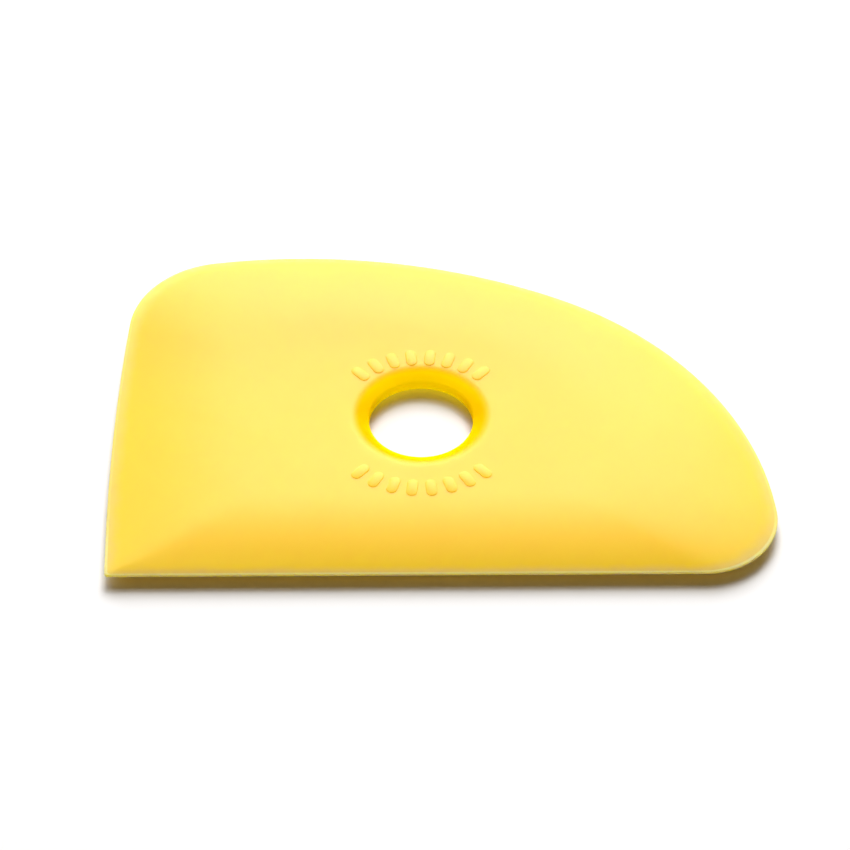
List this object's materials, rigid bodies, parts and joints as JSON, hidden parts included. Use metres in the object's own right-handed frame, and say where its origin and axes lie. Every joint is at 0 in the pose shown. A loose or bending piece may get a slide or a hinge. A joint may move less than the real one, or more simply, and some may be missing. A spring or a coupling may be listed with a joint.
{
  "type": "pottery rib",
  "caption": "Flexible one-piece pottery rib with a straight working edge, curved back, crowned faces, thin bevelled rim and a rounded finger hole.",
  "frame": {"origin": "centre of the finger hole at mid thickness", "axes": "+X along the straight working edge from heel to nose, +Y from the working edge to the curved back, +Z out of the face that carries the raised marks"},
  "size_m": [0.1334, 0.09, 0.0047],
  "materials": {
    "rib_polymer": "satin moulded, slightly translucent at the thin edge"
  },
  "bodies": {
    "root": {"rib_body": "rib_polymer"}
  },
  "joints": []
}
